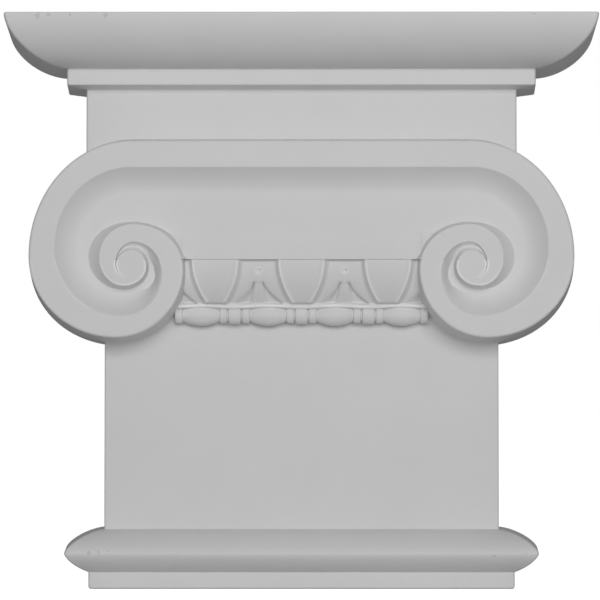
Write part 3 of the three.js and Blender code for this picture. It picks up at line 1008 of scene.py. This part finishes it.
@dataclass
class BeadString:
    """Long barrel beads with three short reels between them, turned about one line."""

    pitch: float = BEAD_PITCH
    barrels: int = 4
    barrel_length: float = 18.3
    barrel_radius: float = 5.8
    barrel_end_radius: float = 3.7
    barrel_fullness: float = 0.85
    barrel_steps: int = 16
    reel_length: float = 4.6
    reel_radius: float = 4.5
    middle_radius: float = 4.95
    groove_radius: float = 3.4
    groove_run: float = 0.25
    shoulder_run: float = 0.35
    shoulder_drop: float = 0.55
    crown_run: float = 0.75
    crown_drop: float = 0.1
    axis_depth: float = 30
    axis_z: float = 140.7
    turns: int = 40

    def drum(self, start: float, length: float, radius: float) -> Section:
        """Draw a reel.

        Args:
            start: Where it starts along the string.
            length: Its length.
            radius: Its greatest radius.

        Returns:
            Pairs of distance along the string and radius.
        """
        half = [
            (self.groove_run, self.groove_radius),
            (self.shoulder_run, radius - self.shoulder_drop),
            (self.crown_run, radius - self.crown_drop),
        ]
        outline = [(start + run, height) for run, height in half]
        outline.append((start + length / 2, radius))
        return outline + [(start + length - run, height) for run, height in reversed(half)]

    def barrel(self, start: float) -> Section:
        """Draw a barrel bead.

        Args:
            start: Where it starts along the string.

        Returns:
            Pairs of distance along the string and radius.
        """
        outline = [(start + self.groove_run, self.groove_radius)]
        for i in range(self.barrel_steps + 1):
            share = i / self.barrel_steps
            swell = math.sin(math.pi * share) ** self.barrel_fullness
            radius = self.barrel_end_radius + (self.barrel_radius - self.barrel_end_radius) * swell
            along = self.shoulder_run + (self.barrel_length - 2 * self.shoulder_run) * share
            outline.append((start + along, radius))
        outline.append((start + self.barrel_length - self.groove_run, self.groove_radius))
        return outline

    def outline(self) -> Section:
        """Draw the whole string from left to right.

        Returns:
            Pairs of distance along the string and radius.
        """
        gap = self.pitch - self.barrel_length
        middle = gap - 2 * self.reel_length
        first = -(self.barrels - 1) / 2 * self.pitch - self.barrel_length / 2
        line = self.drum(first - self.reel_length, self.reel_length, self.reel_radius)
        for i in range(self.barrels):
            line += self.barrel(first + i * self.pitch)
            end = first + i * self.pitch + self.barrel_length
            line += self.drum(end, self.reel_length, self.reel_radius)
            if i + 1 < self.barrels:
                line += self.drum(end + self.reel_length, middle, self.middle_radius)
                line += self.drum(end + self.reel_length + middle, self.reel_length, self.reel_radius)
        return line

    def build(self) -> bpy.types.Object:
        """Spin the outline about the string's line.

        Returns:
            The closed solid.
        """
        outline = self.outline()
        outline = [(outline[0][0], 0.0)] + outline + [(outline[-1][0], 0.0)]
        mesh = bpy.data.meshes.new("beads")
        points = [place(along, self.axis_z + radius, self.axis_depth) for along, radius in outline]
        mesh.from_pydata([tuple(p) for p in points], [(i, i + 1) for i in range(len(points) - 1)], [])
        string = bpy.data.objects.new("beads", mesh)
        bpy.context.collection.objects.link(string)
        activate(string)
        bpy.ops.object.mode_set(mode="EDIT")
        bpy.ops.mesh.select_all(action="SELECT")
        bpy.ops.mesh.spin(
            steps=self.turns,
            angle=2 * math.pi,
            center=place(0, self.axis_z, self.axis_depth),
            axis=(1, 0, 0),
        )
        close_up(string)
        return string


class Wiring:
    """A shader tree in the making, which adds nodes and links them."""

    def __init__(self, tree: bpy.types.NodeTree) -> None:
        """Take up the tree."""
        self.tree = tree

    def fill(self, node: bpy.types.Node, inputs: dict[str | int, Input]) -> None:
        """Set or link a node's inputs.

        Args:
            node: The node.
            inputs: For an input's name or place, its value or the socket that is linked to it.
        """
        for key, given in inputs.items():
            if isinstance(given, bpy.types.NodeSocket):
                self.tree.links.new(given, node.inputs[key])
            else:
                node.inputs[key].default_value = given

    def add(
        self,
        kind: str,
        inputs: dict[str | int, Input] | None = None,
        **settings: str | bool | int | bpy.types.NodeTree,
    ) -> bpy.types.Node:
        """Add a node.

        Args:
            kind: Its type, without the words that start every shader node's type.
            inputs: For an input's name or place, its value or the socket that is linked to it.
            settings: The node's own settings by name.

        Returns:
            The new node.
        """
        node = self.tree.nodes.new("ShaderNode" + kind)
        for name, setting in settings.items():
            setattr(node, name, setting)
        self.fill(node, inputs or {})
        return node

    def work_out(self, operation: str, *terms: Input) -> bpy.types.NodeSocket:
        """Add one step of arithmetic and give the socket with its result."""
        return self.add("Math", dict(enumerate(terms)), operation=operation).outputs[0]

    def remap(self, value: Input, was: tuple[float, float], now: tuple[float, float]) -> bpy.types.NodeSocket:
        """Carry one range of values over to another.

        Args:
            value: The value.
            was: The range's first and last values.
            now: What these two become.

        Returns:
            The socket with the new value.
        """
        ends = {"From Min": was[0], "From Max": was[1], "To Min": now[0], "To Max": now[1]}
        return self.add("MapRange", {"Value": value, **ends}).outputs["Result"]

    def noise(self, position: Input, scale: float, detail: float) -> bpy.types.NodeSocket:
        """Add a noise and give the socket with its value."""
        return self.add("TexNoise", {"Vector": position, "Scale": scale, "Detail": detail}).outputs["Fac"]

    def by_ray(self, given: Input, seen: Input) -> bpy.types.NodeSocket:
        """Mix two shaders by kind of ray.

        Args:
            given: The shader for the light that a surface gives to others.
            seen: The shader for what the camera sees.

        Returns:
            The socket with the mixed shader.
        """
        ray = self.add("LightPath").outputs["Is Camera Ray"]
        return self.add("MixShader", {0: ray, 1: given, 2: seen}).outputs[0]


class Group(Wiring):
    """A node group in the making, with the sockets that it is given and the node that takes its results."""

    def __init__(self, name: str, inputs: dict[str, str], outputs: dict[str, str]) -> None:
        """Make the group with its sockets.

        Args:
            name: The group's name.
            inputs: The types of its inputs by name.
            outputs: The types of its outputs by name.
        """
        super().__init__(bpy.data.node_groups.new(name, "ShaderNodeTree"))
        for way, sockets in (("INPUT", inputs), ("OUTPUT", outputs)):
            for label, kind in sockets.items():
                self.tree.interface.new_socket(label, in_out=way, socket_type=kind)
        self.given = self.tree.nodes.new("NodeGroupInput").outputs
        self.result = self.tree.nodes.new("NodeGroupOutput")


@dataclass(frozen=True)
class Speck:
    """A small mark in the casting's skin."""

    x: float
    z: float
    depth: float
    size: float


@dataclass(frozen=True)
class PrimedCasting:
    """Factory-primed white foam casting: matt, faintly mottled, with small marks along its arrises.

    Crests are sought between two heights in metres. A crest begins at the first openness and is full at the
    second. The colour is painted lighter on these crests, as a painted highlight.
    """

    colour: tuple[float, float, float] = (0.76, 0.76, 0.76)
    roughness: float = 0.62
    shine: float = 0.3
    mottling: float = 0.035
    mottling_scale: float = 26
    mottling_detail: float = 5
    grain_scale: float = 1400
    grain_detail: float = 3
    grain_height: float = 0.00004
    grain_strength: float = 0.6
    crest_width: float = 0.0016
    crest_heights: tuple[float, float] = (0.1435, 0.1678)
    crest_openness: tuple[float, float] = (0.95, 0.7)
    crest_samples: int = 12
    # How much lighter the colour is painted on the crests: a painted highlight.
    crest_highlight_gain: float = 0.3
    speck_shade: float = 0.82
    speck_scale: float = 900
    speck_detail: float = 4
    speck_edge: tuple[float, float] = (1, 0.75)
    specks: tuple[Speck, ...] = (
        Speck(-132.0, 289.4, 72.3, 3.4),
        Speck(-126.5, 289.8, 72.3, 2.6),
        Speck(-115.5, 289.8, 72.3, 1.6),
        Speck(-98.0, 289.4, 72.3, 2.4),
        Speck(-51.5, 287.8, 72.3, 1.0),
        Speck(116.5, 290.0, 72.3, 1.5),
        Speck(-43.0, 271.0, 62.0, 1.6),
        Speck(-108.0, 19.2, 43.8, 2.6),
        Speck(-103.0, 19.6, 43.8, 2.0),
        Speck(-98.5, 20.4, 43.6, 1.6),
        Speck(114.0, 19.0, 43.8, 1.3),
        Speck(98.0, 17.8, 43.8, 1.6),
    )

    def grain_group(self) -> bpy.types.NodeTree:
        """Build the group that gives the casting's fine grain and its broad mottling.

        Returns:
            The group.
        """
        group = Group("cast_grain", {"Position": VECTOR}, {"Grain": NUMBER, "Mottling": NUMBER})
        position = group.given["Position"]
        grain = group.noise(position, self.grain_scale, self.grain_detail)
        mottling = group.noise(position, self.mottling_scale, self.mottling_detail)
        group.fill(group.result, {"Grain": grain, "Mottling": mottling})
        return group.tree

    def crest_highlight_group(self) -> bpy.types.NodeTree:
        """Build the group that finds the sharp crests of the carved band, where the colour gets a painted
        highlight.

        Returns:
            The group.
        """
        group = Group("painted_crest_highlight", {"Position": VECTOR}, {"Mask": NUMBER})
        reach = {"Distance": self.crest_width}
        thin = group.add("AmbientOcclusion", reach, inside=True, samples=self.crest_samples)
        mask = group.remap(thin.outputs["AO"], self.crest_openness, (0, 1))
        parts = group.add("SeparateXYZ", {"Vector": group.given["Position"]})
        for sign, limit in zip(("GREATER_THAN", "LESS_THAN"), self.crest_heights):
            within = group.work_out(sign, parts.outputs["Z"], limit)
            mask = group.work_out("MULTIPLY", mask, within)
        group.fill(group.result, {"Mask": mask})
        return group.tree

    def speck_group(self) -> bpy.types.NodeTree:
        """Build the group that gives a ragged spot's mask around a centre.

        Returns:
            The group.
        """
        inputs = {"Position": VECTOR, "Centre": VECTOR, "Size": NUMBER}
        group = Group("skin_speck", inputs, {"Mask": NUMBER})
        position = group.given["Position"]
        ends = {0: position, 1: group.given["Centre"]}
        apart = group.add("VectorMath", ends, operation="DISTANCE").outputs["Value"]
        share = group.work_out("DIVIDE", apart, group.given["Size"])
        noise = group.noise(position, self.speck_scale, self.speck_detail)
        ragged = group.work_out("ADD", share, noise)
        group.fill(group.result, {"Mask": group.remap(ragged, self.speck_edge, (0, 1))})
        return group.tree

    def material(self) -> bpy.types.Material:
        """Build the primed finish, with a painted highlight on the carved band's crests.

        Returns:
            The material.
        """
        paint = bpy.data.materials.new("primed_casting")
        paint.use_nodes = True
        wiring = Wiring(paint.node_tree)
        position = wiring.add("TexCoord").outputs["Object"]
        grain = wiring.add("Group", {"Position": position}, node_tree=self.grain_group())
        crest = wiring.add("Group", {"Position": position}, node_tree=self.crest_highlight_group())
        marks = self.marks(wiring, position)
        shades = (1 - self.mottling, 1 + self.mottling)
        mottle = wiring.remap(grain.outputs["Mottling"], (0, 1), shades)
        # Painted highlight: the colour is lifted on the sharp crests of the carved band, on top of the
        # mottling.
        mottle_and_highlight = wiring.work_out("MULTIPLY_ADD", crest.outputs["Mask"], self.crest_highlight_gain, mottle)
        shade = wiring.add("VectorMath", {0: self.colour, "Scale": mottle_and_highlight}, operation="SCALE")
        spot_colour = tuple(c * self.speck_shade for c in self.colour) + (1.0,)
        coats = {"Factor": marks, "A": shade.outputs["Vector"], "B": spot_colour}
        coat = wiring.add("Mix", coats, data_type="RGBA")
        relief = wiring.work_out("SUBTRACT", grain.outputs["Grain"], marks)
        sizes = {"Strength": self.grain_strength, "Distance": self.grain_height}
        bump = wiring.add("Bump", {**sizes, "Height": relief})
        surface = {
            "Base Color": coat.outputs["Result"],
            "Roughness": self.roughness,
            "Specular IOR Level": self.shine,
            "Normal": bump.outputs["Normal"],
        }
        wiring.fill(paint.node_tree.nodes["Principled BSDF"], surface)
        return paint

    def marks(self, wiring: Wiring, position: bpy.types.NodeSocket) -> bpy.types.NodeSocket:
        """Join the masks of all the specks.

        Args:
            wiring: The material's tree.
            position: The socket with the place on the piece.

        Returns:
            The socket with the joint mask.
        """
        shape = self.speck_group()
        total = None
        for speck in self.specks:
            centre = place(speck.x, speck.z, speck.depth)
            inputs = {"Position": position, "Centre": centre, "Size": speck.size * MM}
            mask = wiring.add("Group", inputs, node_tree=shape).outputs["Mask"]
            total = mask if total is None else wiring.work_out("MAXIMUM", total, mask)
        return total


@dataclass
class Casting:
    """The whole capital: every moulding and carving joined into one closed skin."""

    mouldings: Mouldings = field(default_factory=Mouldings)
    scroll: Scroll = field(default_factory=Scroll)
    band: EggAndDart = field(default_factory=EggAndDart)
    beads: BeadString = field(default_factory=BeadString)
    finish: PrimedCasting = field(default_factory=PrimedCasting)
    smooth_below: float = math.radians(32)

    def build(self) -> bpy.types.Object:
        """Join the parts, smooth the skin and dress it.

        Returns:
            The finished piece.
        """
        body = self.mouldings.build()
        for part in (self.scroll.build(), self.band.build(), self.beads.build()):
            join(body, part, Joining.ADD)
        body.name = "ionic_capital_casting"
        body.data.name = body.name
        close_up(body)
        activate(body)
        bpy.ops.object.shade_smooth_by_angle(angle=self.smooth_below)
        even = body.modifiers.new("even_faces", "WEIGHTED_NORMAL")
        even.keep_sharp = True
        bpy.ops.object.modifier_apply(modifier=even.name)
        body.data.materials.clear()
        body.data.materials.append(self.finish.material())
        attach(body, "root")
        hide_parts(NODE)
        return body


@dataclass
class Studio:
    """A pale floor and white surroundings, soft light from in front, and the camera.

    The camera's pixels are those of the picture that it takes, counted from its top left corner.
    """

    wall_to_lens: float = 1310
    lens_height: float = 104.6
    lens_x: float = 4
    scroll_depth: float = 45
    focal_pixels: float = 2486
    image_pixels: float = 600
    horizon_pixel: float = 385
    middle_pixel: float = 301.4
    sensor_mm: float = 36
    key_watts: float = 18.7
    key_width: float = 1.1
    key_height: float = 0.8
    key_distance: float = 2
    key_elevation: float = math.radians(12)
    key_azimuth: float = math.radians(4)
    fill_strength: float = 0.18
    seen_strength: float = 1
    floor_size: float = 12
    floor_colour: tuple[float, float, float, float] = (0.68, 0.68, 0.68, 1)
    floor_roughness: float = 0.9
    floor_glow: float = 0.92

    def camera(self) -> None:
        """Stand the camera a little below the piece's middle, tilted up to frame it."""
        lens = bpy.data.cameras.new("camera")
        lens.sensor_width = self.sensor_mm
        lens.lens = self.sensor_mm * self.focal_pixels / self.image_pixels
        holder = bpy.data.objects.new("camera", lens)
        bpy.context.collection.objects.link(holder)
        holder.location = place(self.lens_x, self.lens_height, self.wall_to_lens)
        half = self.image_pixels / 2
        up = math.atan((self.horizon_pixel - half) / self.focal_pixels)
        aside = math.atan(self.lens_x / (self.wall_to_lens - self.scroll_depth))
        aside += math.atan((self.middle_pixel - half) / self.focal_pixels)
        holder.rotation_euler = (QUARTER + up, 0, aside)
        bpy.context.scene.camera = holder

    def lights(self) -> None:
        """Hang one large soft light in front and above."""
        lamp = bpy.data.lights.new("key", "AREA")
        lamp.shape = "RECTANGLE"
        lamp.size = self.key_width
        lamp.size_y = self.key_height
        lamp.energy = self.key_watts
        holder = bpy.data.objects.new("key", lamp)
        bpy.context.collection.objects.link(holder)
        middle = Vector((0, 0, HIGH[2] / 2))
        level = math.cos(self.key_elevation)
        aside, ahead = level * math.sin(self.key_azimuth), -level * math.cos(self.key_azimuth)
        back = Vector((aside, ahead, math.sin(self.key_elevation)))
        holder.location = middle + back * self.key_distance
        aim = middle - holder.location
        holder.rotation_euler = aim.to_track_quat("-Z", "Y").to_euler()

    def surroundings(self) -> None:
        """Surround the piece with even pale light, seen as white."""
        world = bpy.data.worlds.new("studio")
        bpy.context.scene.world = world
        world.use_nodes = True
        wiring, nodes = Wiring(world.node_tree), world.node_tree.nodes
        seen = wiring.add("Background", {"Color": WHITE, "Strength": self.seen_strength})
        wiring.fill(nodes["Background"], {"Color": WHITE, "Strength": self.fill_strength})
        shader = wiring.by_ray(nodes["Background"].outputs[0], seen.outputs[0])
        wiring.fill(nodes["World Output"], {"Surface": shader})

    def floor(self) -> None:
        """Lay the pale floor under the piece."""
        deselect_all()
        bpy.ops.mesh.primitive_plane_add(size=self.floor_size, location=(0, 0, LOW[2]))
        floor = bpy.context.object
        floor.name = "studio_floor"
        pale = bpy.data.materials.new("pale_floor")
        pale.use_nodes = True
        wiring, nodes = Wiring(pale.node_tree), pale.node_tree.nodes
        surface = nodes["Principled BSDF"]
        wiring.fill(surface, {"Base Color": self.floor_colour, "Roughness": self.floor_roughness})
        glow = wiring.add("Emission", {"Strength": self.floor_glow})
        both = wiring.add("AddShader", {0: surface.outputs[0], 1: glow.outputs[0]})
        shader = wiring.by_ray(surface.outputs[0], both.outputs[0])
        wiring.fill(nodes["Material Output"], {"Surface": shader})
        floor.data.materials.append(pale)

    def build(self) -> None:
        """Set up everything around the piece."""
        bpy.context.scene.view_settings.view_transform = "Standard"
        self.camera()
        self.lights()
        self.surroundings()
        self.floor()


def main() -> None:
    """Build the casting and its studio."""
    logging.basicConfig(level=logging.INFO, format="%(name)s: %(message)s")
    piece = Casting().build()
    LOG.info("%s: %d faces in all", piece.name, len(piece.data.polygons))
    Studio().build()


if __name__ == "__main__":
    main()
